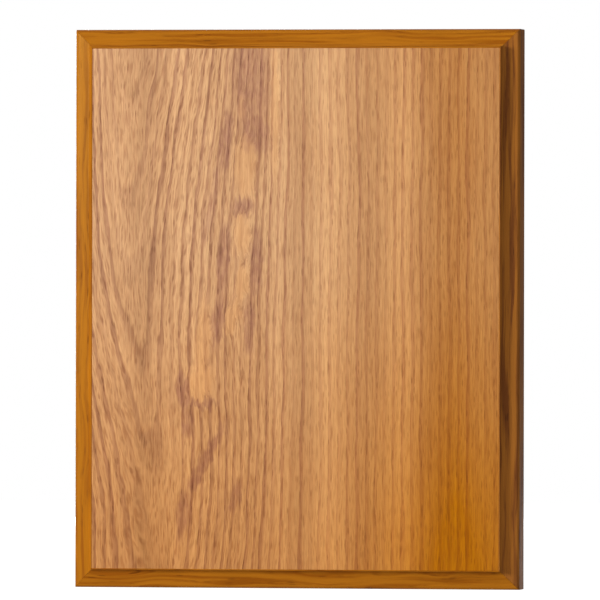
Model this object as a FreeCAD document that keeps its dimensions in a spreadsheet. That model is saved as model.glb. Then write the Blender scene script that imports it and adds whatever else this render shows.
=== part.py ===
import FreeCAD, Part
import math
import os
import Sketcher

# A blank wooden award plaque, 8 by 10 in nominal and 3/4 in thick: a veneered board inside four mitred
# oak mouldings, with recessed keyhole plates in its back for hanging it upright or on its side.
#
# Frame: +X to the viewer's right, +Z up, +Y into the wall. The origin is the middle of the back
# face, so the plaque reaches from y = 0 at the wall to y = -plaque_depth at its front.

DIMENSIONS = [
    # alias, millimetres or degrees, what it is
    ("plaque_width", 204.8, "overall width, 8 1/16 in"),
    ("plaque_height", 254.0, "overall height, 10 in"),
    ("plaque_depth", 19.05, "overall thickness, 3/4 in"),
    ("rail_width", 8.7, "width of a rail, seen from the front"),
    ("lip_width", 0.5, "flat lip of the rail, level with the veneer"),
    ("quirk_depth", 0.7, "step down from the lip to the cove"),
    ("cove_radius", 2.8, "hollow below the quirk"),
    ("land_slope", 14.0, "fall of the flat between cove and bead, degrees"),
    ("bead_radius", 2.0, "rounded outer shoulder"),
    ("back_ease", 0.5, "chamfer on the rail's outer back edge"),
    ("tongue_thick", 5.0, "tongue on the rail, at mid thickness"),
    ("tongue_reach", 5.5, "how far the tongue stands out of the rail"),
    ("groove_reach", 6.0, "depth of the board's groove, with room for glue"),
    ("veneer_thick", 0.6, "face and back veneer"),
    ("nail_inset", 5.5, "bend of a V-nail, in from both outer walls"),
    ("nail_leg", 4.2, "length of each leg of a V-nail"),
    ("nail_gauge", 0.5, "strip thickness of a V-nail"),
    ("nail_tall", 10.0, "how deep a V-nail is driven"),
    ("nail_bend", 0.4, "outer radius of the V-nail's bend"),
    ("hanger_inset", 38.0, "middle of a keyhole plate, in from the plaque's edge"),
    ("hanger_long", 46.0, "keyhole plate, overall length"),
    ("hanger_wide", 17.0, "keyhole plate, width"),
    ("hanger_thick", 1.5, "keyhole plate, thickness"),
    ("hanger_sink", 0.2, "how far the plate lies below the back face"),
    ("hanger_play", 0.2, "gap round the plate in its recess"),
    ("hanger_round", 0.3, "rounded rim of the plate's outer face"),
    ("entry_bore", 10.0, "diameter of the keyhole's entry"),
    ("entry_drop", 5.0, "entry below the plate's middle, slot end above it"),
    ("slot_width", 5.0, "width of the keyhole's slot"),
    ("pocket_wide", 13.0, "room for the hanging screw's head, width"),
    ("pocket_long", 25.0, "room for the hanging screw's head, length"),
    ("pocket_deep", 8.0, "room for the hanging screw's head, behind the plate"),
    ("screw_offset", 18.0, "screws either side of the plate's middle"),
    ("screw_hole", 3.1, "clearance hole in the plate"),
    ("sink_bore", 6.1, "countersink at the plate's face"),
    ("head_radius", 2.9, "screw head"),
    ("head_rim", 0.1, "cylindrical rim of the screw head"),
    ("screw_long", 12.0, "screw, overall length"),
    ("screw_major", 1.45, "radius over the thread"),
    ("screw_core", 1.05, "radius under the thread"),
    ("screw_tip", 1.8, "length of the screw's cone"),
    ("thread_start", 2.4, "first ridge, from the top of the head"),
    ("thread_pitch", 1.1, "ridge to ridge"),
    ("ridge_base", 0.8, "width of a ridge at its root"),
    ("thread_turns", 7, "number of ridges"),
    ("cross_long", 3.4, "length of an arm of the cross recess"),
    ("cross_wide", 0.8, "width of an arm of the cross recess"),
    ("cross_deep", 1.1, "depth of the cross recess"),
]

# The four sides of the plaque, as turns about Y from the top: how far each rail runs and how far
# its outer wall is from the middle.
SIDES = {
    "top_rail": (0, "dims.plaque_width", "dims.plaque_height / 2"),
    "right_rail": (90, "dims.plaque_height", "dims.plaque_width / 2"),
    "bottom_rail": (180, "dims.plaque_width", "dims.plaque_height / 2"),
    "left_rail": (270, "dims.plaque_height", "dims.plaque_width / 2"),
}

# Each corner's turn about Y from the top right, and the signs of its X and Z.
CORNERS = {
    "v_nail_top_right": (0, 1, 1),
    "v_nail_bottom_right": (90, 1, -1),
    "v_nail_bottom_left": (180, -1, -1),
    "v_nail_top_left": (270, -1, 1),
}

TOP_HANGER = ("0", "(dims.plaque_height / 2 - dims.hanger_inset)")
SIDE_HANGER = ("-(dims.plaque_width / 2 - dims.hanger_inset)", "0")
HANGERS = {
    # the plate's middle, its turn about Y, and the labels of its two screws
    "top_hanger_plate": (TOP_HANGER, 0, ("top_plate_upper_screw", "top_plate_lower_screw")),
    "side_hanger_plate": (SIDE_HANGER, -90, ("side_plate_outer_screw", "side_plate_inner_screw")),
}

MITRE_SPARE = 1.0  # how far the mitre's cut runs past the rail on every side
GROOVE_SPARE = 1.0  # how far the groove's cut runs past the board's edge
RIDGE_ROOT = 0.9  # where a thread ridge starts inside the screw, as a share of its core radius
COUNTERSINK_ANGLE = 90  # degrees, the same as the screw's head
ON_AXIS = 1e-6  # how near an edge's middle has to be to an axis to lie on it
FACING = 0.99  # how far a face's normal has to point along an axis to face that way

doc = FreeCAD.newDocument("plaque")
dims = doc.addObject("Spreadsheet::Sheet", "dims")


def fill_sheet():
    for row, (alias, number, note) in enumerate(DIMENSIONS, start=1):
        dims.set(f"A{row}", alias)
        dims.set(f"B{row}", str(number))
        dims.set(f"C{row}", note)
        dims.setAlias(f"B{row}", alias)
    doc.recompute()


def value(expression):
    """The number that an expression of the sheet's cells has now."""
    result = dims.evalExpression(expression)
    return float(getattr(result, "Value", result))


def size(alias):
    return value("dims." + alias)


# ---------------------------------------------------------------- bodies, sketches, features

def new_body(label):
    body = doc.addObject("PartDesign::Body", label)
    body.Label = label
    return body


def new_sketch(body, role, name, depth="0"):
    """A sketch on one of the body's origin planes, raised along the plane's normal by depth.

    On XZ_Plane the normal is -Y, so depth there is how far the sketch lies in from the back.
    """
    plane = next(item for item in body.Origin.OriginFeatures if item.Role == role)
    sketch = body.newObject("Sketcher::SketchObject", name)
    sketch.AttachmentSupport = [(plane, "")]
    sketch.MapMode = "FlatFace"
    sketch.setExpression("AttachmentOffset.Base.z", depth)
    return sketch


def new_pad(body, sketch, name, length, side="One side"):
    pad = body.newObject("PartDesign::Pad", name)
    pad.Profile = sketch
    pad.SideType = side
    pad.setExpression("Length", length)
    return pad


def new_pocket(body, sketch, name, length, side="One side"):
    """A pocket that goes the same way as the sketch's normal: into the board from its back."""
    pocket = body.newObject("PartDesign::Pocket", name)
    pocket.Profile = sketch
    pocket.SideType = side
    pocket.Reversed = True
    pocket.setExpression("Length", length)
    return pocket


def turn_about_y(body, degrees):
    body.Placement = FreeCAD.Placement(
        FreeCAD.Vector(0, 0, 0), FreeCAD.Rotation(FreeCAD.Vector(0, 1, 0), degrees))


def move_to(body, across, up, back="0"):
    body.setExpression("Placement.Base.x", across)
    body.setExpression("Placement.Base.y", back)
    body.setExpression("Placement.Base.z", up)


# ---------------------------------------------------------------- sketch geometry

def bind(sketch, constraint, name, expression):
    sketch.renameConstraint(sketch.addConstraint(constraint), name)
    sketch.setExpression("Constraints." + name, expression)


def dimension_point(sketch, name, geometry, end, across, up):
    """Dimension one point of the sketch from the sketch's origin, both ways."""
    for kind, suffix, expression in (("DistanceX", "_x", across), ("DistanceY", "_y", up)):
        constraint = Sketcher.Constraint(kind, -1, 1, geometry, end, value(expression))
        bind(sketch, constraint, name + suffix, expression)


def draw_polygon(sketch, name, corners):
    """A closed outline of straight lines through corners, each given as two expressions."""
    points = [FreeCAD.Vector(value(across), value(up), 0) for across, up in corners]
    lines = [sketch.addGeometry(Part.LineSegment(start, end))
             for start, end in zip(points, points[1:] + points[:1])]
    for line, following in zip(lines, lines[1:] + lines[:1]):
        sketch.addConstraint(Sketcher.Constraint("Coincident", line, 2, following, 1))
    for number, (line, (across, up)) in enumerate(zip(lines, corners), start=1):
        dimension_point(sketch, f"{name}_{number}", line, 1, across, up)


def draw_rectangle(sketch, name, left, right, low, high):
    draw_polygon(sketch, name, [(left, low), (right, low), (right, high), (left, high)])


def draw_centred_rectangle(sketch, name, width, height):
    draw_rectangle(sketch, name, f"-({width}) / 2", f"({width}) / 2", f"-({height}) / 2", f"({height}) / 2")


def draw_circle(sketch, name, across, up, radius):
    centre = FreeCAD.Vector(value(across), value(up), 0)
    circle = sketch.addGeometry(Part.Circle(centre, FreeCAD.Vector(0, 0, 1), value(radius)))
    dimension_point(sketch, name, circle, 3, across, up)
    bind(sketch, Sketcher.Constraint("Radius", circle, value(radius)), name + "_radius", radius)


def draw_obround(sketch, name, middle, long, wide, upright):
    """Two half circles joined by straight sides, with its long way up or across."""
    across, up = middle
    reach = f"(({long}) - ({wide})) / 2"
    if upright:
        ends = [(across, f"{up} + {reach}", 0), (across, f"{up} - {reach}", math.pi)]
    else:
        ends = [(f"{across} - {reach}", up, math.pi / 2), (f"{across} + {reach}", up, -math.pi / 2)]
    radius = value(f"({wide}) / 2")
    arcs = []
    for end_across, end_up, begin in ends:
        centre = FreeCAD.Vector(value(end_across), value(end_up), 0)
        circle = Part.Circle(centre, FreeCAD.Vector(0, 0, 1), radius)
        arcs.append(sketch.addGeometry(Part.ArcOfCircle(circle, begin, begin + math.pi)))
    for number, (arc, (end_across, end_up, _)) in enumerate(zip(arcs, ends), start=1):
        dimension_point(sketch, f"{name}_{number}", arc, 3, end_across, end_up)
    bind(sketch, Sketcher.Constraint("Radius", arcs[0], radius), name + "_radius", f"({wide}) / 2")
    for arc, following in (arcs, reversed(arcs)):
        side = Part.LineSegment(sketch.getPoint(arc, 2), sketch.getPoint(following, 1))
        line = sketch.addGeometry(side)
        sketch.addConstraint(Sketcher.Constraint("Tangent", arc, 2, line, 1))
        sketch.addConstraint(Sketcher.Constraint("Tangent", line, 2, following, 1))


# ---------------------------------------------------------------- rails

def draw_rail_section(sketch, reach):
    """The moulding's section: across is Y, up is Z, with the outer wall at the height reach.

    From the veneer outwards: a flat lip, the quirk, a cove, a sloping land and a bead.
    """
    front = -size("plaque_depth")
    wall = value(reach)
    joint = wall - size("rail_width")
    slope = math.radians(size("land_slope"))
    cove = size("cove_radius")
    bead = size("bead_radius")
    ease = size("back_ease")
    half_tongue = size("tongue_thick") / 2
    tongue_end = joint - size("tongue_reach")
    middle = front / 2

    lip_edge = joint + size("lip_width")
    cove_centre = FreeCAD.Vector(front + size("quirk_depth"), lip_edge + cove, 0)
    land_start = cove_centre + FreeCAD.Vector(math.cos(slope), -math.sin(slope), 0) * cove
    # The land runs on until it is a bead's radius from the bead's centre line, wall - bead.
    rise = wall - bead + bead * math.sin(slope) - land_start.y
    land_end = land_start + FreeCAD.Vector(math.tan(slope), 1, 0) * rise
    bead_centre = FreeCAD.Vector(land_end.x + bead * math.cos(slope), wall - bead, 0)
    normal = FreeCAD.Vector(0, 0, 1)

    def line(start, end):
        return sketch.addGeometry(Part.LineSegment(FreeCAD.Vector(*start, 0), FreeCAD.Vector(*end, 0)))

    def arc(centre, radius, begin, end):
        return sketch.addGeometry(Part.ArcOfCircle(Part.Circle(centre, normal, radius), begin, end))

    lip = line((front, joint), (front, lip_edge))
    quirk = line((front, lip_edge), (cove_centre.x, lip_edge))
    cove_arc = arc(cove_centre, cove, -math.pi / 2, -slope)
    land = line((land_start.x, land_start.y), (land_end.x, land_end.y))
    bead_arc = arc(bead_centre, bead, math.pi / 2, math.pi - slope)
    outer_wall = line((bead_centre.x, wall), (-ease, wall))
    back_chamfer = line((-ease, wall), (0, wall - ease))
    back = line((0, wall - ease), (0, joint))
    back_joint = line((0, joint), (middle + half_tongue, joint))
    tongue_back = line((middle + half_tongue, joint), (middle + half_tongue, tongue_end))
    tongue_tip = line((middle + half_tongue, tongue_end), (middle - half_tongue, tongue_end))
    tongue_front = line((middle - half_tongue, tongue_end), (middle - half_tongue, joint))
    front_joint = line((middle - half_tongue, joint), (front, joint))

    # Join the edges end to end. The bead's arc runs the other way, so its ends are swapped.
    chain = [(lip, 1, 2), (quirk, 1, 2), (cove_arc, 1, 2), (land, 1, 2), (bead_arc, 2, 1),
             (outer_wall, 1, 2), (back_chamfer, 1, 2), (back, 1, 2), (back_joint, 1, 2),
             (tongue_back, 1, 2), (tongue_tip, 1, 2), (tongue_front, 1, 2), (front_joint, 1, 2)]
    smooth = {(cove_arc, land), (land, bead_arc), (bead_arc, outer_wall)}
    for (edge, _, finish), (following, begin, _) in zip(chain, chain[1:] + chain[:1]):
        kind = "Tangent" if (edge, following) in smooth else "Coincident"
        sketch.addConstraint(Sketcher.Constraint(kind, edge, finish, following, begin))
    for edge in (lip, back, tongue_back, tongue_front):
        sketch.addConstraint(Sketcher.Constraint("Vertical", edge))
    for edge in (quirk, outer_wall, back_joint, tongue_tip, front_joint):
        sketch.addConstraint(Sketcher.Constraint("Horizontal", edge))
    sketch.addConstraint(Sketcher.Constraint("Vertical", cove_arc, 1, cove_arc, 3))

    joint_height = f"{reach} - dims.rail_width"
    dimension_point(sketch, "joint_corner", lip, 1, "-dims.plaque_depth", joint_height)
    dimension_point(sketch, "back_corner", back, 1, "0", f"{reach} - dims.back_ease")
    dimension_point(sketch, "chamfer_corner", outer_wall, 2, "-dims.back_ease", reach)
    dimension_point(sketch, "tongue_corner", tongue_tip, 1,
                    "(dims.tongue_thick - dims.plaque_depth) / 2", f"{joint_height} - dims.tongue_reach")
    sized = [
        ("lip_width", Sketcher.Constraint("DistanceY", lip, 1, lip, 2, lip_edge - joint)),
        ("quirk_depth", Sketcher.Constraint("DistanceX", quirk, 1, quirk, 2, cove_centre.x - front)),
        ("cove_radius", Sketcher.Constraint("Radius", cove_arc, cove)),
        ("bead_radius", Sketcher.Constraint("Radius", bead_arc, bead)),
        ("tongue_thick", Sketcher.Constraint("DistanceX", tongue_tip, 2, tongue_tip, 1, 2 * half_tongue)),
    ]
    for alias, constraint in sized:
        bind(sketch, constraint, alias, "dims." + alias)
    land_angle = Sketcher.Constraint("Angle", land, math.pi / 2 - slope)
    bind(sketch, land_angle, "land_angle", "90 deg - dims.land_slope * 1 deg")
    sketch.addConstraint(Sketcher.Constraint("PointOnObject", back_joint, 2, front_joint))


def draw_mitres(sketch, run, reach):
    """Two triangles that take the rail's ends off at 45 degrees, past the end of the tongue."""
    spare = MITRE_SPARE
    inwards = f"(dims.rail_width + dims.tongue_reach + {spare})"
    low = f"{reach} - {inwards}"
    high = f"{reach} + {spare}"
    for name, sign in (("right_end", "1"), ("left_end", "-1")):
        outer = f"{sign} * ({run} / 2 + {spare})"
        inner = f"{sign} * ({run} / 2 - {inwards})"
        draw_polygon(sketch, name, [(outer, high), (inner, low), (outer, low)])


def draw_nail_slots(sketch, run, reach):
    low = f"{reach} - dims.nail_inset"
    for name, sign in (("right_slot", "1"), ("left_slot", "-1")):
        bend = f"{sign} * ({run} / 2 - dims.nail_inset)"
        beside = f"{sign} * ({run} / 2 - dims.nail_inset + dims.nail_gauge)"
        draw_rectangle(sketch, name, bend, beside, low, f"{low} + dims.nail_leg")


def make_rail(label, turn, run, reach):
    """One moulding, built as the top one and turned about Y to its side of the plaque."""
    body = new_body(label)
    section = new_sketch(body, "YZ_Plane", "rail_section")
    draw_rail_section(section, reach)
    new_pad(body, section, "moulding", run, side="Symmetric")
    mitres = new_sketch(body, "XZ_Plane", "mitre_lines")
    draw_mitres(mitres, run, reach)
    new_pocket(body, mitres, "mitred_ends", "3 * dims.plaque_depth", side="Symmetric")
    slots = new_sketch(body, "XZ_Plane", "nail_slot_lines")
    draw_nail_slots(slots, run, reach)
    new_pocket(body, slots, "nail_slots", "dims.nail_tall")
    turn_about_y(body, turn)
    return body


def make_v_nail(label, turn, right, up):
    """A bent strip across a mitre, driven from the back, with its bend towards the inner corner."""
    body = new_body(label)
    strip = new_sketch(body, "XZ_Plane", "bent_strip")
    leg, gauge = "dims.nail_leg", "dims.nail_gauge"
    draw_polygon(strip, "strip", [("0", "0"), (leg, "0"), (leg, gauge),
                                  (gauge, gauge), (gauge, leg), ("0", leg)])
    nail = new_pad(body, strip, "nail", "dims.nail_tall")
    doc.recompute()
    bend_edge = [f"Edge{number}" for number, edge in enumerate(nail.Shape.Edges, start=1)
                 if abs(edge.CenterOfMass.x) < ON_AXIS and abs(edge.CenterOfMass.z) < ON_AXIS]
    bend = body.newObject("PartDesign::Fillet", "bend")
    bend.Base = (nail, bend_edge)
    bend.setExpression("Radius", "dims.nail_bend")
    turn_about_y(body, turn)
    move_to(body, f"{right} * (dims.plaque_width / 2 - dims.nail_inset)",
            f"{up} * (dims.plaque_height / 2 - dims.nail_inset)")
    return body


# ---------------------------------------------------------------- board and veneers

PANEL_WIDTH = "(dims.plaque_width - 2 * dims.rail_width)"
PANEL_HEIGHT = "(dims.plaque_height - 2 * dims.rail_width)"
RECESS_LONG = "(dims.hanger_long + 2 * dims.hanger_play)"
RECESS_WIDE = "(dims.hanger_wide + 2 * dims.hanger_play)"


def draw_hanger_obrounds(sketch, long, wide):
    draw_obround(sketch, "top", TOP_HANGER, long, wide, upright=True)
    draw_obround(sketch, "side", SIDE_HANGER, long, wide, upright=False)


def make_core_board():
    """The board between the veneers, grooved for the tongues and recessed for the hangers."""
    body = new_body("core_board")
    outline = new_sketch(body, "XZ_Plane", "board_outline", "dims.veneer_thick")
    draw_centred_rectangle(outline, "board", PANEL_WIDTH, PANEL_HEIGHT)
    new_pad(body, outline, "board", "dims.plaque_depth - 2 * dims.veneer_thick")

    groove = new_sketch(body, "XZ_Plane", "groove_lines", "dims.plaque_depth / 2")
    past = f"2 * {GROOVE_SPARE}"
    draw_centred_rectangle(groove, "outside", f"{PANEL_WIDTH} + {past}", f"{PANEL_HEIGHT} + {past}")
    draw_centred_rectangle(groove, "inside", f"{PANEL_WIDTH} - 2 * dims.groove_reach",
                           f"{PANEL_HEIGHT} - 2 * dims.groove_reach")
    new_pocket(body, groove, "edge_groove", "dims.tongue_thick", side="Symmetric")

    recess = new_sketch(body, "XZ_Plane", "recess_lines", "dims.veneer_thick")
    draw_hanger_obrounds(recess, RECESS_LONG, RECESS_WIDE)
    seat_depth = "dims.hanger_sink + dims.hanger_thick"
    new_pocket(body, recess, "plate_recesses", f"{seat_depth} - dims.veneer_thick")

    pockets = new_sketch(body, "XZ_Plane", "head_pocket_lines", seat_depth)
    draw_hanger_obrounds(pockets, "dims.pocket_long", "dims.pocket_wide")
    new_pocket(body, pockets, "head_pockets", "dims.pocket_deep")

    holes = new_sketch(body, "XZ_Plane", "screw_hole_lines", seat_depth)
    (top_across, top_up), (side_across, side_up) = TOP_HANGER, SIDE_HANGER
    for number, sign in enumerate(("+", "-"), start=1):
        draw_circle(holes, f"top_{number}", top_across, f"{top_up} {sign} dims.screw_offset",
                    "dims.screw_major")
        draw_circle(holes, f"side_{number}", f"{side_across} {sign} dims.screw_offset", side_up,
                    "dims.screw_major")
    new_pocket(body, holes, "screw_holes", "dims.screw_long")
    return body


def make_face_veneer():
    body = new_body("face_veneer")
    outline = new_sketch(body, "XZ_Plane", "sheet_outline", "dims.plaque_depth - dims.veneer_thick")
    draw_centred_rectangle(outline, "sheet", PANEL_WIDTH, PANEL_HEIGHT)
    new_pad(body, outline, "sheet", "dims.veneer_thick")
    return body


def make_back_veneer():
    body = new_body("back_veneer")
    outline = new_sketch(body, "XZ_Plane", "sheet_outline")
    draw_centred_rectangle(outline, "sheet", PANEL_WIDTH, PANEL_HEIGHT)
    new_pad(body, outline, "sheet", "dims.veneer_thick")
    openings = new_sketch(body, "XZ_Plane", "opening_lines")
    draw_hanger_obrounds(openings, RECESS_LONG, RECESS_WIDE)
    new_pocket(body, openings, "plate_openings", "2 * dims.veneer_thick", side="Symmetric")
    return body


# ---------------------------------------------------------------- hanging hardware

def draw_keyhole(sketch):
    """The round entry below the plate's middle, with a narrow slot above it."""
    radius = size("entry_bore") / 2
    half_slot = size("slot_width") / 2
    drop = size("entry_drop")
    mouth = math.acos(half_slot / radius)
    normal = FreeCAD.Vector(0, 0, 1)
    entry_circle = Part.Circle(FreeCAD.Vector(0, -drop, 0), normal, radius)
    slot_circle = Part.Circle(FreeCAD.Vector(0, drop, 0), normal, half_slot)
    entry = sketch.addGeometry(Part.ArcOfCircle(entry_circle, math.pi - mouth, 2 * math.pi + mouth))
    slot_end = sketch.addGeometry(Part.ArcOfCircle(slot_circle, 0, math.pi))
    right = sketch.addGeometry(Part.LineSegment(sketch.getPoint(entry, 2), sketch.getPoint(slot_end, 1)))
    left = sketch.addGeometry(Part.LineSegment(sketch.getPoint(slot_end, 2), sketch.getPoint(entry, 1)))
    sketch.addConstraint([
        Sketcher.Constraint("Coincident", entry, 2, right, 1),
        Sketcher.Constraint("Tangent", right, 2, slot_end, 1),
        Sketcher.Constraint("Tangent", slot_end, 2, left, 1),
        Sketcher.Constraint("Coincident", left, 2, entry, 1),
        Sketcher.Constraint("Vertical", right),
        Sketcher.Constraint("Vertical", left),
    ])
    dimension_point(sketch, "entry", entry, 3, "0", "-dims.entry_drop")
    dimension_point(sketch, "slot_end", slot_end, 3, "0", "dims.entry_drop")
    bind(sketch, Sketcher.Constraint("Radius", entry, radius), "entry_radius", "dims.entry_bore / 2")
    bind(sketch, Sketcher.Constraint("Radius", slot_end, half_slot), "slot_radius", "dims.slot_width / 2")


def make_hanger_plate(label, middle, turn):
    body = new_body(label)
    outline = new_sketch(body, "XZ_Plane", "plate_outline", "dims.hanger_sink")
    draw_obround(outline, "plate", ("0", "0"), "dims.hanger_long", "dims.hanger_wide", upright=True)
    plate = new_pad(body, outline, "plate", "dims.hanger_thick")
    doc.recompute()
    outer_face = next(number for number, face in enumerate(plate.Shape.Faces, start=1)
                      if face.normalAt(0, 0).y > FACING)
    rim = body.newObject("PartDesign::Fillet", "rounded_rim")
    rim.Base = (plate, [f"Face{outer_face}"])
    rim.setExpression("Radius", "dims.hanger_round")

    keyhole = new_sketch(body, "XZ_Plane", "keyhole_lines")
    draw_keyhole(keyhole)
    new_pocket(body, keyhole, "keyhole", "dims.hanger_sink + 2 * dims.hanger_thick")

    centres = new_sketch(body, "XZ_Plane", "screw_centres", "dims.hanger_sink")
    for number, sign in enumerate(("", "-"), start=1):
        draw_circle(centres, f"screw_{number}", "0", f"{sign}dims.screw_offset", "dims.screw_hole / 2")
    doc.recompute()
    holes = body.newObject("PartDesign::Hole", "countersunk_holes")
    holes.Profile = centres
    holes.Reversed = True
    holes.DepthType = "ThroughAll"
    holes.HoleCutType = "Countersink"
    holes.setExpression("Diameter", "dims.screw_hole")
    holes.setExpression("HoleCutDiameter", "dims.sink_bore")
    holes.HoleCutCountersinkAngle = COUNTERSINK_ANGLE
    turn_about_y(body, turn)
    move_to(body, *middle)
    return body


def make_screw(label, across, up):
    """A countersunk wood screw whose axis is Y, with the top of its head at the origin."""
    body = new_body(label)
    shank = new_sketch(body, "YZ_Plane", "shank_section")
    neck = "-(dims.head_radius - dims.screw_core + dims.head_rim)"
    cone = "-(dims.screw_long - dims.screw_tip)"
    draw_polygon(shank, "shank", [
        ("0", "0"), ("-dims.screw_long", "0"), (cone, "dims.screw_core"), (neck, "dims.screw_core"),
        ("-dims.head_rim", "dims.head_radius"), ("0", "dims.head_radius")])
    turned = body.newObject("PartDesign::Revolution", "shank")
    turned.Profile = shank
    turned.ReferenceAxis = (shank, ["H_Axis"])
    turned.Angle = 360

    ridge = new_sketch(body, "YZ_Plane", "ridge_section")
    first = "-dims.thread_start"
    half_base = "dims.ridge_base / 2"
    buried = f"dims.screw_core * {RIDGE_ROOT}"
    draw_polygon(ridge, "ridge", [(f"{first} + {half_base}", buried), (first, "dims.screw_major"),
                                  (f"{first} - {half_base}", buried)])
    ring = body.newObject("PartDesign::Revolution", "thread_ridge")
    ring.Profile = ridge
    ring.ReferenceAxis = (ridge, ["H_Axis"])
    ring.Angle = 360
    thread = body.newObject("PartDesign::LinearPattern", "thread")
    thread.Originals = [ring]
    thread.Direction = (ridge, ["H_Axis"])
    thread.Reversed = True
    thread.setExpression("Length", "dims.thread_pitch * (dims.thread_turns - 1)")
    thread.setExpression("Occurrences", "dims.thread_turns")
    body.Tip = thread

    arm = new_sketch(body, "XZ_Plane", "recess_arm")
    draw_centred_rectangle(arm, "arm", "dims.cross_long", "dims.cross_wide")
    slot = new_pocket(body, arm, "recess_slot", "dims.cross_deep")
    cross = body.newObject("PartDesign::PolarPattern", "cross_recess")
    cross.Originals = [slot]
    cross.Axis = (arm, ["N_Axis"])
    cross.Angle = 90
    cross.Occurrences = 2
    body.Tip = cross
    move_to(body, across, up, back="-dims.hanger_sink")
    return body


def make_hanger(label, middle, turn, screw_labels):
    """A keyhole plate and its two screws, the first on the side that the slot points to."""
    across, up = middle
    pieces = [make_hanger_plate(label, middle, turn)]
    for screw_label, sign in zip(screw_labels, ("+", "-")):
        if turn == 0:
            pieces.append(make_screw(screw_label, across, f"{up} {sign} dims.screw_offset"))
        else:
            opposite = {"+": "-", "-": "+"}[sign]
            pieces.append(make_screw(screw_label, f"{across} {opposite} dims.screw_offset", up))
    return pieces


# ---------------------------------------------------------------- build, check and write

ADDING = ("PartDesign::Pad", "PartDesign::Revolution", "PartDesign::LinearPattern")
CUTTING = ("PartDesign::Pocket", "PartDesign::Hole", "PartDesign::PolarPattern", "PartDesign::Fillet")


def check_features(body):
    """Stop if a feature left the solid as it found it: a cut that points away shows no error."""
    before = 0.0
    for feature in body.Group:
        if feature.TypeId in ADDING + CUTTING:
            grown = feature.Shape.Volume - before
            wrong = grown <= 0 if feature.TypeId in ADDING else grown >= 0
            if wrong:
                raise RuntimeError(f"{body.Label}: {feature.Name} changed the volume by {grown:.4f}")
            before = feature.Shape.Volume


def check_and_write(bodies):
    doc.recompute()
    for item in doc.Objects:
        if {"Invalid", "Error"} & set(item.State):
            raise RuntimeError(f"{item.Name} failed: {item.State}")
    for body in bodies:
        check_features(body)
        shape = body.Shape
        if shape.isNull() or not shape.isValid() or len(shape.Solids) != 1:
            raise RuntimeError(f"{body.Label} is not one valid solid")
    os.makedirs("parts", exist_ok=True)
    for body in bodies:
        body.Shape.exportStep(f"parts/{body.Label}.step")
        print(f"{body.Label}: {body.Shape.Volume:.1f} mm3")


fill_sheet()
bodies = [make_core_board(), make_face_veneer(), make_back_veneer()]
for rail_label, (rail_turn, rail_run, rail_reach) in SIDES.items():
    bodies.append(make_rail(rail_label, rail_turn, rail_run, rail_reach))
for nail_label, (nail_turn, nail_right, nail_up) in CORNERS.items():
    bodies.append(make_v_nail(nail_label, nail_turn, nail_right, nail_up))
for plate_label, (plate_middle, plate_turn, plate_screws) in HANGERS.items():
    bodies.extend(make_hanger(plate_label, plate_middle, plate_turn, plate_screws))
check_and_write(bodies)
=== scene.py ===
import math

import bmesh
import bpy
from mathutils import Matrix, Vector


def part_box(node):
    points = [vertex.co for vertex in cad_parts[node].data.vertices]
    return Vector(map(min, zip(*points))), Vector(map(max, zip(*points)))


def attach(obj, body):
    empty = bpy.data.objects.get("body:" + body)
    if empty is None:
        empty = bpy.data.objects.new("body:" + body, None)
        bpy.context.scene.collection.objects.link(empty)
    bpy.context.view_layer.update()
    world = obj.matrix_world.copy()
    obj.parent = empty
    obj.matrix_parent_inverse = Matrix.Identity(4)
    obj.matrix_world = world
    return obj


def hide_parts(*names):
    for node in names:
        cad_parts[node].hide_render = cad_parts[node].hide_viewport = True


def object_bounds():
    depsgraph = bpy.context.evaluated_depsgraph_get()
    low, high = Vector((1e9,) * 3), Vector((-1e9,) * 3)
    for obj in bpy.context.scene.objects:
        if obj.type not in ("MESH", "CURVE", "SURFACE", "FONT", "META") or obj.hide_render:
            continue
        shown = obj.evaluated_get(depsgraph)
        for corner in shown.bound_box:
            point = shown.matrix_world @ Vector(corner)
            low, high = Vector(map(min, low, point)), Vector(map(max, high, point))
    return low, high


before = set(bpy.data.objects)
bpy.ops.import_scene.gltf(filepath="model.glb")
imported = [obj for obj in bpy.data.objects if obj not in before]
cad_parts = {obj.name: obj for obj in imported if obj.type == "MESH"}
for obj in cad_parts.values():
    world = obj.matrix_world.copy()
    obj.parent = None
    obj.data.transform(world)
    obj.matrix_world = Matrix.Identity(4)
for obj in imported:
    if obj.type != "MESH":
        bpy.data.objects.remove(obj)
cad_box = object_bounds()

# Lengths are in millimetres unless a name says otherwise. The frame is the CAD one: X to the
# right of the plaque's front, Y out of its back, Z up, and the middle of the back at the origin.
MM = 0.001

# Section of the edge moulding, as on the CAD rails. The other sizes come from the frame.
LIP_WIDE = 0.5
QUIRK_DEEP = 0.7
COVE_RADIUS = 2.8
LAND_SLOPE = 14.0
BEAD_RADIUS = 2.0
BACK_EASE = 0.5
TONGUE_THICK = 5.0
LIP_EASE = 0.16
JOINT_EASE = 0.10
MITRE_GAP = 0.03
MITRE_EASE = 0.08
MITRE_EASE_LONG = 0.12
ARC_STEP = 7.0
VENEER_EASE = 0.10
VENEER_EASE_STEPS = 3
SHARP_ANGLE = 32.0
SAME_PLANE = 0.01

# Camera: level with the plaque and a little to its right.
VIEW_AZIMUTH = 9.7
VIEW_ELEVATION = 0.0
VIEW_ROLL = 0.12
VIEW_DISTANCE_M = 4.8
VIEW_WIDTH = 272.8
VIEW_AIM = (0.72, 4.05)
SENSOR_WIDE = 36.0

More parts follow.
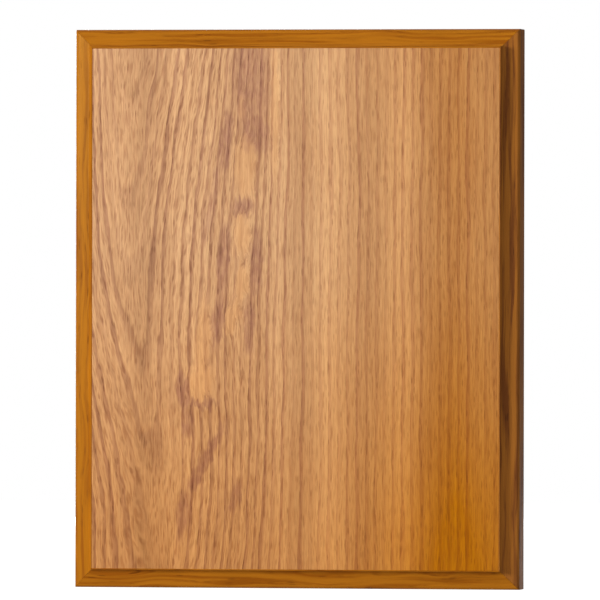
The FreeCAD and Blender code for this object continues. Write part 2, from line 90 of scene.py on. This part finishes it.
# Light: a soft key well round to the left, weak lights above and behind, a room that is brighter
# on the left, a white floor.
KEY_ANGLE = 50.0
KEY_RISE = 9.0
KEY_DISTANCE_M = 2.0
KEY_SIZE_M = 0.5
KEY_WATTS = 40.0
TOP_DISTANCE_M = 1.2
TOP_FORWARD_M = 0.35
TOP_SIZE_M = 0.8
TOP_WATTS = 2.5
BACK_SIDE_M = -0.45
BACK_DISTANCE_M = 1.5
BACK_RISE_M = 0.10
BACK_SIZE_M = 0.5
BACK_WATTS = 9.0
ROOM_TOWARDS = (-0.80, -0.55, 0.25)
ROOM_DARK = 0.08
ROOM_BRIGHT = 0.55
ROOM_DARK_AT = -0.7
ROOM_BRIGHT_AT = 1.0
SEEN_WHITE = 1.0
FLOOR_SIZE_M = 4.0
FLOOR_GAP = 0.2
FLOOR_LIGHT = 0.30
FLOOR_COLOUR = (0.30, 0.30, 0.30, 1.0)
FLOOR_ROUGHNESS = 0.9

# Figure of the face veneer. x and z are places on the face. The rings are nested Vs about a line
# that runs from VEE_LOW to VEE_HIGH, and a pore or hairline is so wide and so long.
RING_SPACING = 4.2
RING_LEAN = 0.12
LEFT_ARM_SHARE = 0.2
VEE_LOW = -60.0
VEE_HIGH = -77.0
VEE_LOW_Z = -115.0
VEE_HIGH_Z = 45.0
LONG_PORE = (1.35, 10.0)
LONG_PORE_FILL = 0.42
SHORT_PORE = (1.15, 5.0)
SHORT_PORE_FILL = 0.44
HAIRLINE = (0.52, 7.5)
# Patches: x, z, half width, half height, lean to the right per mm of height, strength
PALE_ISLANDS = (
    (-23.0, 64, 5.5, 15, 0.00, 0.9),
    (-24.3, 34, 4.2, 10, 0.00, 1.0),
    (-24.5, 12, 3.4, 9, 0.05, 0.9),
    (-28.7, -4, 3.6, 8, 0.20, 0.8),
    (-42.5, -17, 3.8, 22, 0.04, 0.8),
    (-43.5, -33, 6.2, 10, 0.10, 0.8),
    (-24.3, 90, 2.4, 7, 0.00, 0.6),
    (-9.5, 92, 2.2, 34, 0.00, 0.7),
)
DARK_PATCHES = (
    (-20.5, 104, 9.5, 25, -0.04, 0.75),
    (-18.5, 80, 7.5, 10, -0.15, 0.9),
    (-32.0, 77, 3.2, 16, 0.10, 0.9),
    (-38.0, 50, 2.2, 22, 0.20, 0.6),
    (-24.2, 46, 5.5, 4.5, 0.00, 0.9),
    (-33.0, 22, 3.0, 18, 0.05, 0.8),
    (-17.8, 21, 3.0, 17, 0.03, 0.8),
    (-35.2, -5, 3.2, 13, 0.15, 0.9),
    (-21.0, -8, 3.0, 14, 0.05, 0.8),
    (-51.5, -38, 3.4, 10, -0.10, 1.0),
    (-43.0, -43, 8.0, 2.4, 0.00, 0.9),
    (-49.5, -51, 2.8, 8, 0.00, 0.8),
    (-41.2, -69, 3.4, 19, 0.50, 1.0),
    (-51.5, -94, 3.4, 13, 0.10, 0.8),
    (-27.5, -86, 2.8, 10, 0.20, 0.8),
)
# Tone of the veneer across its width: x, tone
FACE_BANDS = (
    (-94, 0.36), (-80, 0.48), (-71, 0.02), (-58, 0.56), (-44, 0.58), (-35, 0.46),
    (-27, 0.52), (-14, 0.40), (-7, 0.80), (0, 0.22), (8, 0.50), (15, 0.94),
    (25, 0.54), (33, 0.36), (38, 0.48), (45, 0.74), (51.5, 0.90), (59, 0.40),
    (72, 0.37), (82, 0.58), (94, 0.48),
)
# How golden the veneer is across its width: x, share. Partly its own tint and partly painted shade:
# the golden end is darker, so the face is painted darker towards the right, away from the light on
# the left.
GOLD_AND_SHADE_BANDS = (
    (-94, 0.0), (0, 0.02), (20, 0.12), (40, 0.30), (50, 0.34), (60, 0.46), (73, 0.62),
    (82, 0.50), (94, 0.46),
)

# Colours of the face veneer, and those that its marks multiply it by.
FACE_TAN = (0.620, 0.364, 0.178, 1.0)
# The golden end is darker than the tan: partly the veneer's own tint, partly painted shade for
# light falling off towards the bottom right.
FACE_GOLD_AND_SHADE = (0.520, 0.180, 0.000, 1.0)
EARLY_STAIN = (0.74, 0.60, 0.66, 1.0)
DARK_STAIN = (0.68, 0.59, 0.70, 1.0)
RED_STAIN = (0.95, 0.80, 0.72, 1.0)
HAIR_ON_TAN = (0.62, 0.48, 0.46, 1.0)
HAIR_ON_GOLD = (0.66, 0.50, 0.30, 1.0)
PORE_ON_TAN = (0.42, 0.29, 0.27, 1.0)
PORE_ON_GOLD = (0.46, 0.30, 0.15, 1.0)

# Colours of a rail: pale wood, deep wood, pores.
HONEY = ((0.340, 0.113, 0.004, 1.0), (0.225, 0.062, 0.003, 1.0), (0.100, 0.024, 0.003, 1.0))
AMBER = ((0.400, 0.136, 0.008, 1.0), (0.265, 0.072, 0.004, 1.0), (0.100, 0.024, 0.003, 1.0))
MAROON = ((0.445, 0.158, 0.026, 1.0), (0.192, 0.057, 0.017, 1.0), (0.080, 0.024, 0.012, 1.0))
RAIL_SHINE = (1.0, 0.62, 0.16, 1.0)
# Rails: side, axis of the grain, seed, width of a ring, colours
RAILS = (
    ("top", "X", 51.0, 1.5, AMBER),
    ("bottom", "X", 61.0, 1.5, AMBER),
    ("left", "Z", 71.0, 1.8, HONEY),
    ("right", "Z", 81.0, 2.6, MAROON),
)

# Colours of what only shows from behind.
BACK_PALE = (0.50, 0.30, 0.145, 1.0)
BACK_DEEP = (0.36, 0.19, 0.08, 1.0)
BACK_PORE = (0.16, 0.08, 0.035, 1.0)
CORE_BROWN = (0.33, 0.215, 0.115)
PLATE_ZINC = (0.60, 0.61, 0.62)
SCREW_ZINC = (0.66, 0.64, 0.58)
BARE_STEEL = (0.40, 0.41, 0.43)


class Shader:
    """One material's nodes. Its calls take sockets and plain numbers alike."""

    def __init__(self, name, tree=None):
        if tree is None:
            self.material = bpy.data.materials.new(name)
            self.material.use_nodes = True
            tree = self.material.node_tree
            tree.nodes.clear()
        self.tree = tree

    def put(self, socket, value):
        if isinstance(value, bpy.types.NodeSocket):
            self.tree.links.new(value, socket)
        else:
            socket.default_value = value

    def node(self, kind, inputs, **settings):
        made = self.tree.nodes.new(kind)
        for name, value in settings.items():
            setattr(made, name, value)
        for key, value in inputs.items():
            self.put(made.inputs[key], value)
        return made

    def math(self, operation, first, second=0.0, third=0.0, clamp=False):
        made = self.node("ShaderNodeMath", {0: first, 1: second, 2: third},
                         operation=operation, use_clamp=clamp)
        return made.outputs[0]

    def add(self, *values):
        total = values[0]
        for value in values[1:]:
            total = self.math("ADD", total, value)
        return total

    def times(self, first, second):
        return self.math("MULTIPLY", first, second)

    def seen(self, light):
        """Plain white to look at, with another strength as a light."""
        camera = self.node("ShaderNodeLightPath", {}).outputs["Is Camera Ray"]
        made = self.node("ShaderNodeMix", {0: camera, 2: light, 3: SEEN_WHITE}, data_type="FLOAT")
        return made.outputs[0]

    def millimetres(self):
        """x, y and z of the shaded point in the plaque's frame."""
        place = self.node("ShaderNodeTexCoord", {}).outputs["Object"]
        scaled = self.node("ShaderNodeVectorMath", {0: place, "Scale": 1 / MM}, operation="SCALE")
        split = self.node("ShaderNodeSeparateXYZ", {0: scaled.outputs[0]})
        return split.outputs[0], split.outputs[1], split.outputs[2]

    def place(self, across, along, size_across, size_along, seed):
        """A texture vector in which one unit is size_across by size_along."""
        made = self.node("ShaderNodeCombineXYZ", {
            0: self.math("DIVIDE", across, size_across),
            1: self.math("DIVIDE", along, size_along),
            2: seed,
        })
        return made.outputs[0]

    def noise(self, across, along, size_across, size_along, seed, detail=2.0, rough=0.5):
        """Soft noise of about -1 to 1 whose spots are size_across by size_along."""
        spot = self.place(across, along, size_across, size_along, seed)
        made = self.node("ShaderNodeTexNoise",
                         {"Vector": spot, "Scale": 1.0, "Detail": detail, "Roughness": rough})
        return self.math("MULTIPLY_ADD", made.outputs[0], 3.2, -1.6)

    def dashes(self, across, along, size_across, size_along, seed, fill):
        """Separate short strokes, 0 to 1, one to a cell, with strengths that vary."""
        spot = self.place(across, along, size_across, size_along, seed)
        made = self.node("ShaderNodeTexVoronoi", {"Vector": spot, "Scale": 1.0, "Randomness": 1.0},
                         voronoi_dimensions="3D", feature="F1")
        strength = self.node("ShaderNodeSeparateXYZ", {0: made.outputs["Color"]}).outputs[0]
        stroke = self.smooth(made.outputs["Distance"], fill, fill * 0.35)
        return self.times(stroke, strength)

    def smooth(self, value, start, end, low=0.0, high=1.0):
        """low before start, high after end, with a smooth rise between. start may be above end."""
        made = self.node("ShaderNodeMapRange", {
            "Value": value, "From Min": start, "From Max": end, "To Min": low, "To Max": high,
        }, interpolation_type="SMOOTHSTEP")
        return made.outputs[0]

    def ramp(self, value, stops, interpolation="EASE"):
        """Grey level by value through the stops, which are (value, level)."""
        first, last = stops[0][0], stops[-1][0]
        share = self.math("DIVIDE", self.math("SUBTRACT", value, first), last - first)
        made = self.node("ShaderNodeValToRGB", {0: share})
        elements = made.color_ramp.elements
        made.color_ramp.interpolation = interpolation
        for index, (at, level) in enumerate(stops):
            if index >= 2:
                element = elements.new((at - first) / (last - first))
            else:
                element = elements[index]
                element.position = (at - first) / (last - first)
            element.color = (level, level, level, 1.0)
        return self.node("ShaderNodeSeparateColor", {0: made.outputs[0]}).outputs[0]

    def mix(self, share, first, second):
        made = self.node("ShaderNodeMix", {0: share, 6: first, 7: second}, data_type="RGBA")
        return made.outputs[2]

    def blend(self, share, first, second):
        """Between two plain numbers."""
        return self.node("ShaderNodeMix", {0: share, 2: first, 3: second}).outputs[0]

    def stain(self, share, wood, colour):
        """The wood multiplied by a colour, by that share."""
        made = self.node("ShaderNodeMix", {0: share, 6: wood, 7: colour}, data_type="RGBA",
                         blend_type="MULTIPLY")
        return made.outputs[2]

    def brighten(self, colour, factor):
        made = self.node("ShaderNodeVectorMath", {0: colour, "Scale": factor}, operation="SCALE")
        return made.outputs[0]

    def patches(self, across, along, spots):
        """The strongest of the patches at each place, 0 to 1."""
        total = 0.0
        for x, z, half_wide, half_tall, lean, strength in spots:
            up = self.math("SUBTRACT", along, z)
            side = self.math("SUBTRACT", self.math("SUBTRACT", across, x), self.times(up, lean))
            reach = self.add(
                self.math("POWER", self.math("DIVIDE", side, half_wide), 2.0),
                self.math("POWER", self.math("DIVIDE", up, half_tall), 2.0),
            )
            spot = self.smooth(reach, 1.5, 0.15, 0.0, strength)
            total = self.math("MAXIMUM", total, spot)
        return total

    def finish(self, colour, roughness, height, depth, **uniform):
        """Principled surface with a bump of that depth. Uniform inputs are set on its sockets."""
        bump = self.node("ShaderNodeBump",
                         {"Strength": 1.0, "Distance": depth * MM, "Height": height})
        surface = self.node("ShaderNodeBsdfPrincipled", {
            "Base Color": colour, "Roughness": roughness, "Normal": bump.outputs[0],
        })
        for name, value in uniform.items():
            surface.inputs[name.replace("_", " ")].default_value = value
        output = self.node("ShaderNodeOutputMaterial", {})
        self.tree.links.new(surface.outputs[0], output.inputs[0])
        return self.material


def face_oak():
    """Flat-sawn red oak veneer, satin lacquered: a chain of islands, leaning rings and dashes."""
    s = Shader("face_oak")
    x, _, z = s.millimetres()
    drift = s.noise(x, z, 28, 85, 1.0)
    ragged = s.noise(x, z, 2.6, 8.0, 2.0, detail=3.0)
    ragged_up = s.noise(x, z, 2.0, 10.0, 3.0)
    torn_x = s.add(x, s.times(ragged, 1.5))
    torn_z = s.add(z, s.times(ragged_up, 5.0))
    islands = s.patches(torn_x, torn_z, PALE_ISLANDS)
    darks = s.patches(torn_x, torn_z, DARK_PATCHES)
    calm = s.math("SUBTRACT", 1.0, s.times(islands, 0.52))

    # Rings: nested Vs about the line on the left, upright further right. by_axis is 1 on that line,
    # and left_part is 1 on the left of the face and 0 on the right.
    axis = s.smooth(z, VEE_LOW_Z, VEE_HIGH_Z, VEE_LOW, VEE_HIGH)
    off_axis = s.math("SUBTRACT", x, axis)
    by_axis = s.smooth(s.math("ABSOLUTE", off_axis), 12, 4)
    arms = s.math("SQRT", s.add(s.times(off_axis, off_axis), 40.0))
    upright = s.times(s.math("SUBTRACT", axis, VEE_HIGH), s.smooth(x, -45, 0))
    lean = s.times(s.times(z, RING_LEAN), s.smooth(x, 10, -42))
    lean = s.times(lean, s.smooth(off_axis, -25, 5, LEFT_ARM_SHARE, 1.0))
    left_part = s.smooth(x, 5, -30)
    ripple = s.times(s.noise(x, z, 6, 26, 4.0), s.math("MULTIPLY_ADD", left_part, 0.6, 0.3))
    wave = s.add(s.times(drift, 1.2), ripple)
    field = s.add(s.math("SUBTRACT", arms, lean), upright, wave, s.times(islands, 2.0))
    jitter = s.times(s.noise(x, z, 3, 40, 12.0), 0.7)
    phase = s.math("DIVIDE", s.add(field, jitter), RING_SPACING)
    ring = s.math("FRACT", phase)
    number = s.node("ShaderNodeTexWhiteNoise", {"W": s.math("FLOOR", phase)},
                    noise_dimensions="1D")
    ring_strength = s.math("MULTIPLY_ADD", number.outputs[0], 0.8, 0.4)
    early = s.ramp(ring, ((0, 0.0), (0.12, 1.0), (0.30, 0.80), (0.55, 0.12), (1, 0.0)))
    early = s.times(s.times(early, ring_strength), calm)
    early = s.times(early, s.math("MULTIPLY_ADD", by_axis, -0.5, 1.0))

    # Pores: short strokes along the rings, thick where the ring begins, and hairlines between.
    # Near the line of the Vs the strokes stay upright.
    def strokes_along(across, seed):
        long_pores = s.dashes(across, z, *LONG_PORE, seed, LONG_PORE_FILL)
        short_pores = s.dashes(across, z, *SHORT_PORE, seed + 1, SHORT_PORE_FILL)
        thick = s.add(
            s.times(long_pores, s.math("MULTIPLY_ADD", early, 1.2, 0.75)),
            s.times(short_pores, s.math("MULTIPLY_ADD", early, 0.6, 0.85)),
        )
        hair_noise = s.noise(across, z, *HAIRLINE, seed + 2, detail=1.0)
        return thick, s.smooth(hair_noise, -0.20, 0.55)

    ring_pores, ring_hair = strokes_along(field, 5.0)
    core_pores, core_hair = strokes_along(s.add(x, wave), 15.0)
    pores = s.times(s.blend(by_axis, ring_pores, core_pores), calm)
    pores = s.math("MINIMUM", pores, 1.0)
    hair = s.times(s.blend(by_axis, ring_hair, core_hair), calm)

    # Tone: bands across the width, fine fibres, and the ring itself.
    bands = s.ramp(s.add(x, s.times(drift, 2.0), s.times(ragged, 0.5)), FACE_BANDS, "B_SPLINE")
    fibre = s.noise(x, z, 0.8, 20, 7.0, detail=3.0)
    streak = s.noise(field, z, 1.9, 45, 8.0)
    mottle = s.noise(x, z, 1.6, 4.0, 10.0, detail=3.0)
    darks = s.times(darks, s.math("MULTIPLY_ADD", mottle, 0.60, 0.92))
    tone = s.add(
        1.0,
        s.times(s.math("SUBTRACT", bands, 0.5), 0.52),
        s.times(fibre, 0.10),
        s.times(streak, s.math("MULTIPLY_ADD", left_part, 0.08, 0.08)),
        s.times(mottle, 0.04),
        s.times(early, s.math("MULTIPLY_ADD", left_part, -0.12, -0.06)),
        s.times(islands, 0.09),
    )

    # Hue: pinkish tan at the top left, darker golden orange at the bottom right. This is partly the
    # veneer's own tint and partly painted shade, darker away from the light at the upper left and
    # towards the bottom.
    gold_and_painted_shade = s.add(
        s.ramp(x, GOLD_AND_SHADE_BANDS, "B_SPLINE"),
        s.smooth(z, 50, -130, 0.0, 0.50),
        s.times(s.noise(x, z, 35, 120, 9.0), 0.05),
        s.times(islands, 0.12),
    )
    wood = s.mix(gold_and_painted_shade, FACE_TAN, FACE_GOLD_AND_SHADE)
    wood = s.stain(s.times(early, 0.70), wood, EARLY_STAIN)
    wood = s.stain(darks, wood, DARK_STAIN)
    red = s.smooth(s.add(bands, s.times(streak, 0.35)), 0.95, 0.05, 0.0, 0.55)
    wood = s.stain(red, wood, RED_STAIN)
    wood = s.brighten(wood, tone)
    line = s.mix(gold_and_painted_shade, HAIR_ON_TAN, HAIR_ON_GOLD)
    fine_share = s.math("MULTIPLY_ADD", left_part, 0.20, 0.36)
    wood = s.stain(s.times(hair, fine_share), wood, line)
    pore = s.mix(gold_and_painted_shade, PORE_ON_TAN, PORE_ON_GOLD)
    pore_share = s.math("MULTIPLY_ADD", left_part, 0.14, 0.32)
    wood = s.stain(s.times(pores, pore_share), wood, pore)
    sheen = s.math("MULTIPLY_ADD", pores, 0.16, 0.46)
    height = s.add(s.times(pores, -1.0), s.times(fibre, 0.10))
    return s.finish(wood, sheen, height, 0.05, Specular_IOR_Level=0.1)


def rail_oak(name, along_axis, seed, grain, pale, deep, line):
    """Solid oak moulding with an amber stain, its grain along the rail."""
    s = Shader(name)
    x, y, z = s.millimetres()
    along = x if along_axis == "X" else z
    across = s.add(z if along_axis == "X" else x, s.times(y, 0.8))
    wave = s.noise(across, along, 14, 48, seed)
    bent = s.add(across, s.times(wave, 1.9))
    rings = s.noise(bent, along, grain, 60, seed + 1, detail=2.0)
    broad = s.noise(bent, along, 4.0, 120, seed + 2)
    fibre = s.noise(bent, along, 0.4, 18, seed + 3, detail=3.0)
    pores = s.times(
        s.dashes(bent, along, 0.75, 6.5, seed + 4, 0.44),
        s.smooth(rings, -0.45, 0.6),
    )
    dark = s.smooth(rings, -0.25, 0.50)
    tone = s.add(1.0, s.times(broad, 0.10), s.times(fibre, 0.11))
    wood = s.mix(s.times(dark, 0.85), pale, deep)
    wood = s.brighten(wood, tone)
    wood = s.mix(s.times(pores, 0.7), wood, line)
    sheen = s.math("MULTIPLY_ADD", pores, 0.15, 0.28)
    height = s.add(s.times(pores, -1.0), s.times(fibre, 0.12))
    return s.finish(wood, sheen, height, 0.03, Specular_IOR_Level=0.07,
                    Specular_Tint=RAIL_SHINE)


def back_oak():
    """Plain straight-grained veneer on the back, with a thin matt seal coat."""
    s = Shader("back_wood")
    x, _, z = s.millimetres()
    bent = s.add(x, s.times(s.noise(x, z, 30, 140, 31.0), 2.5))
    rings = s.noise(bent, z, 2.8, 160, 32.0)
    fibre = s.noise(bent, z, 0.5, 22, 33.0, detail=3.0)
    pores = s.dashes(bent, z, 1.0, 7.0, 34.0, 0.42)
    pores = s.times(pores, s.smooth(rings, -0.4, 0.6))
    wood = s.mix(s.smooth(rings, -0.8, 0.9), BACK_PALE, BACK_DEEP)
    wood = s.brighten(wood, s.math("MULTIPLY_ADD", fibre, 0.05, 1.0))
    wood = s.mix(s.times(pores, 0.5), wood, BACK_PORE)
    height = s.add(s.times(pores, -1.0), s.times(fibre, 0.2))
    return s.finish(wood, s.math("MULTIPLY_ADD", pores, 0.1, 0.62), height, 0.05,
                    Specular_IOR_Level=0.3)


def fibreboard():
    """Raw fibreboard, with fine light and dark fibres."""
    s = Shader("core_mdf")
    x, y, z = s.millimetres()
    depth = s.times(y, 1.3)
    fleck = s.noise(s.add(x, depth), z, 0.35, 0.5, 41.0, detail=4.0, rough=0.7)
    cloud = s.noise(s.add(x, depth), z, 6, 7, 42.0)
    hair = s.dashes(s.add(x, depth), s.add(z, s.times(cloud, 2.0)), 1.3, 0.35, 43.0, 0.4)
    tone = s.add(1.0, s.times(fleck, 0.12), s.times(cloud, 0.06), s.times(hair, 0.15))
    wood = s.brighten(CORE_BROWN, tone)
    return s.finish(wood, s.math("MULTIPLY_ADD", fleck, 0.04, 0.85), fleck, 0.06,
                    Specular_IOR_Level=0.2)


def plated_steel(name, colour, seed, rough):
    """Zinc-plated or bare sheet: rolling marks, cloudy plating and light rubbing."""
    s = Shader(name)
    x, y, z = s.millimetres()
    side = s.add(x, s.times(y, 0.7))
    rolled = s.noise(side, z, 0.18, 9.0, seed, detail=3.0)
    cloud = s.noise(side, z, 3.5, 3.0, seed + 1, detail=4.0, rough=0.6)
    rub = s.dashes(s.add(side, s.times(z, 0.4)), z, 0.5, 6.0, seed + 2, 0.25)
    tone = s.add(1.0, s.times(rolled, 0.05), s.times(cloud, 0.10), s.times(rub, 0.12))
    metal = s.brighten(colour, tone)
    worn = s.add(rough, s.times(cloud, 0.08), s.times(rub, -0.10))
    height = s.add(s.times(rolled, 0.5), s.times(cloud, 0.3))
    return s.finish(metal, worn, height, 0.012, Metallic=1.0)


def arc(centre, radius, start, end):
    """Points of an arc in a section, in order, with its angles in degrees."""
    steps = max(2, math.ceil(abs(end - start) / ARC_STEP))
    points = []
    for index in range(steps + 1):
        angle = math.radians(start + (end - start) * index / steps)
        points.append((centre[0] + radius * math.cos(angle), centre[1] + radius * math.sin(angle)))
    return points


def rail_section(wide, deep, reach, tongue_front, tongue_back):
    """The moulding's outline as (inwards from the outer wall, back from the face)."""
    slope = math.radians(LAND_SLOPE)
    quirk = wide - LIP_WIDE
    cove_centre = (quirk - COVE_RADIUS, QUIRK_DEEP)
    cove = arc(cove_centre, COVE_RADIUS, 0, 90 - LAND_SLOPE)
    land_start = cove[-1]
    land_end_in = BEAD_RADIUS * (1 - math.sin(slope))
    land_end_back = land_start[1] + (land_start[0] - land_end_in) * math.tan(slope)
    bead_centre = (BEAD_RADIUS, land_end_back + BEAD_RADIUS * math.cos(slope))
    bead = arc(bead_centre, BEAD_RADIUS, -90 - LAND_SLOPE, -180)
    joint_edge = arc((wide - JOINT_EASE, JOINT_EASE), JOINT_EASE, 0, -90)
    lip_edge = arc((quirk + LIP_EASE, LIP_EASE), LIP_EASE, -90, -180)
    return joint_edge + lip_edge + cove + bead + [
        (0.0, deep - BACK_EASE),
        (BACK_EASE, deep),
        (wide, deep),
        (wide, tongue_back),
        (reach, tongue_back),
        (reach, tongue_front),
        (wide, tongue_front),
    ]


def shrunk(section, by):
    """The section moved inwards by that much, corner by corner."""
    moved = []
    for index, (inwards, back) in enumerate(section):
        before, after = section[index - 1], section[(index + 1) % len(section)]
        run = Vector((after[0] - before[0], after[1] - before[1])).normalized()
        moved.append((inwards + by * run.y, back - by * run.x))
    return moved


def rail_point(side, inwards, back, along, half_wide, half_high, front):
    """Where a point of a section lands on that side of the plaque, in metres."""
    y = front + back
    places = {
        "top": (along, y, half_high - inwards),
        "bottom": (along, y, inwards - half_high),
        "left": (inwards - half_wide, y, along),
        "right": (half_wide - inwards, y, along),
    }
    return Vector(places[side]) * MM


def new_object(name, mesh_maker, material, slot, *nodes):
    """A mesh piece that rides on the plaque and stands for CAD nodes."""
    mesh = bpy.data.meshes.new(name)
    shape = bmesh.new()
    mesh_maker(shape)
    bmesh.ops.recalc_face_normals(shape, faces=shape.faces)
    for face in shape.faces:
        face.smooth = True
    shape.to_mesh(mesh)
    shape.free()
    mesh.set_sharp_from_angle(angle=math.radians(SHARP_ANGLE))
    piece = bpy.data.objects.new(name, mesh)
    bpy.context.scene.collection.objects.link(piece)
    mesh.materials.append(material)
    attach(piece, "root")
    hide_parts(*nodes)
    return piece


def make_rail(side, material):
    """One mitred moulding, closed all round, with its mitre arrises just eased."""
    _, panel_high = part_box("face_veneer")
    rail_low, rail_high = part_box(side + "_rail")
    half_wide = cad_box[1].x / MM
    half_high = cad_box[1].z / MM
    front = cad_box[0].y / MM
    deep = (cad_box[1].y - cad_box[0].y) / MM
    wide = half_wide - panel_high.x / MM
    level = side in ("top", "bottom")
    reach = (rail_high.z - rail_low.z if level else rail_high.x - rail_low.x) / MM
    tongue_front = (deep - TONGUE_THICK) / 2
    tongue_back = (deep + TONGUE_THICK) / 2
    section = rail_section(wide, deep, reach, tongue_front, tongue_back)
    eased = shrunk(section, MITRE_EASE)
    half_run = half_wide if level else half_high

    def build(shape):
        loops = []
        for end, outline, short in ((-1, eased, MITRE_GAP), (-1, section, MITRE_EASE_LONG),
                                    (1, section, MITRE_EASE_LONG), (1, eased, MITRE_GAP)):
            loop = []
            for inwards, back in outline:
                along = end * (half_run - inwards - short)
                at = rail_point(side, inwards, back, along, half_wide, half_high, front)
                loop.append(shape.verts.new(at))
            loops.append(loop)
        count = len(section)
        for here, there in zip(loops, loops[1:]):
            for index in range(count):
                after = (index + 1) % count
                shape.faces.new((here[index], here[after], there[after], there[index]))
        shape.faces.new(loops[0])
        shape.faces.new(list(reversed(loops[-1])))

    return new_object(side + "_moulding", build, material, "rail_oak", side + "_rail")


def make_face(material):
    """The face veneer as a sheet with its front arrises just broken."""
    low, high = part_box("face_veneer")

    def build(shape):
        bmesh.ops.create_cube(shape, size=1.0)
        for vert in shape.verts:
            for axis in range(3):
                vert.co[axis] = low[axis] if vert.co[axis] < 0 else high[axis]
        rim = [edge for edge in shape.edges
               if all(abs(vert.co.y - low.y) < SAME_PLANE * MM for vert in edge.verts)]
        bmesh.ops.bevel(shape, geom=rim, offset=VENEER_EASE * MM, segments=VENEER_EASE_STEPS,
                        profile=0.5, affect="EDGES")

    return new_object("face_sheet", build, material, "face_oak", "face_veneer")


def paint(material, *nodes):
    for name in nodes:
        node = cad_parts[name]
        node.data.materials.clear()
        node.data.materials.append(material)


def make_plaque():
    make_face(face_oak())
    for side, along_axis, seed, grain, colours in RAILS:
        make_rail(side, rail_oak("rail_oak_" + side, along_axis, seed, grain, *colours))
    paint(back_oak(), "back_veneer")
    paint(fibreboard(), "core_board")
    nodes = sorted(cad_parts)
    paint(plated_steel("hanger_zinc", PLATE_ZINC, 91.0, 0.38),
          *[name for name in nodes if name.endswith("_plate")])
    paint(plated_steel("screw_zinc", SCREW_ZINC, 95.0, 0.32),
          *[name for name in nodes if name.endswith("_screw")])
    paint(plated_steel("nail_steel", BARE_STEEL, 99.0, 0.42),
          *[name for name in nodes if name.startswith("v_nail")])


def make_floor():
    """A plain white floor under the plaque's bottom edge."""
    s = Shader("floor_white")
    surface = s.node("ShaderNodeBsdfPrincipled", {
        "Base Color": FLOOR_COLOUR, "Roughness": FLOOR_ROUGHNESS, "Specular IOR Level": 0.0,
        "Emission Color": (1.0, 1.0, 1.0, 1.0), "Emission Strength": s.seen(FLOOR_LIGHT),
    })
    output = s.node("ShaderNodeOutputMaterial", {})
    s.tree.links.new(surface.outputs[0], output.inputs[0])
    half = FLOOR_SIZE_M / 2
    level = cad_box[0].z - FLOOR_GAP * MM
    mesh = bpy.data.meshes.new("floor")
    mesh.from_pydata([(-half, -half, level), (half, -half, level), (half, half, level),
                      (-half, half, level)], [], [(0, 1, 2, 3)])
    mesh.materials.append(s.material)
    floor = bpy.data.objects.new("floor", mesh)
    bpy.context.scene.collection.objects.link(floor)


def aim(thing, target):
    thing.rotation_euler = (target - thing.location).to_track_quat("-Z", "Y").to_euler()


def make_light(name, place, target, size, watts):
    lamp = bpy.data.lights.new(name, "AREA")
    lamp.shape = "SQUARE"
    lamp.size = size
    lamp.energy = watts
    light = bpy.data.objects.new(name, lamp)
    bpy.context.scene.collection.objects.link(light)
    light.location = place
    aim(light, target)


def make_room(centre):
    angle, rise = math.radians(KEY_ANGLE), math.radians(KEY_RISE)
    towards_key = Vector((-math.sin(angle) * math.cos(rise), -math.cos(angle) * math.cos(rise),
                          math.sin(rise)))
    make_light("key", centre + towards_key * KEY_DISTANCE_M, centre, KEY_SIZE_M, KEY_WATTS)
    overhead = centre + Vector((0, -TOP_FORWARD_M, TOP_DISTANCE_M))
    make_light("overhead", overhead, centre, TOP_SIZE_M, TOP_WATTS)
    behind = centre + Vector((BACK_SIDE_M, BACK_DISTANCE_M, BACK_RISE_M))
    make_light("behind", behind, centre, BACK_SIZE_M, BACK_WATTS)
    world = bpy.data.worlds.new("room")
    bpy.context.scene.world = world
    world.use_nodes = True
    world.node_tree.nodes.clear()
    s = Shader("room", world.node_tree)
    facing = s.node("ShaderNodeTexCoord", {}).outputs["Generated"]
    towards = Vector(ROOM_TOWARDS).normalized()
    side = s.node("ShaderNodeVectorMath", {0: facing, 1: towards}, operation="DOT_PRODUCT")
    light = s.smooth(side.outputs["Value"], ROOM_DARK_AT, ROOM_BRIGHT_AT, ROOM_DARK, ROOM_BRIGHT)
    sky = s.node("ShaderNodeBackground", {"Color": (1, 1, 1, 1), "Strength": s.seen(light)})
    output = s.node("ShaderNodeOutputWorld", {})
    s.tree.links.new(sky.outputs[0], output.inputs[0])


def make_camera(centre):
    azimuth, elevation = math.radians(VIEW_AZIMUTH), math.radians(VIEW_ELEVATION)
    away = Vector((math.sin(azimuth) * math.cos(elevation),
                   -math.cos(azimuth) * math.cos(elevation), math.sin(elevation)))
    data = bpy.data.cameras.new("camera")
    data.sensor_width = SENSOR_WIDE
    data.lens = SENSOR_WIDE * VIEW_DISTANCE_M / (VIEW_WIDTH * MM)
    camera = bpy.data.objects.new("camera", data)
    bpy.context.scene.collection.objects.link(camera)
    right = Vector((math.cos(azimuth), math.sin(azimuth), 0.0))
    up = right.cross(-away)
    slide = (right * VIEW_AIM[0] + up * VIEW_AIM[1]) * MM
    camera.location = centre + slide + away * VIEW_DISTANCE_M
    turn = (-away).to_track_quat("-Z", "Y").to_matrix()
    roll = Matrix.Rotation(math.radians(VIEW_ROLL), 3, "Z")
    camera.rotation_euler = (turn @ roll).to_euler()
    bpy.context.scene.camera = camera


middle = (cad_box[0] + cad_box[1]) / 2
make_plaque()
make_floor()
make_room(middle)
make_camera(middle)
bpy.context.scene.view_settings.view_transform = "Standard"
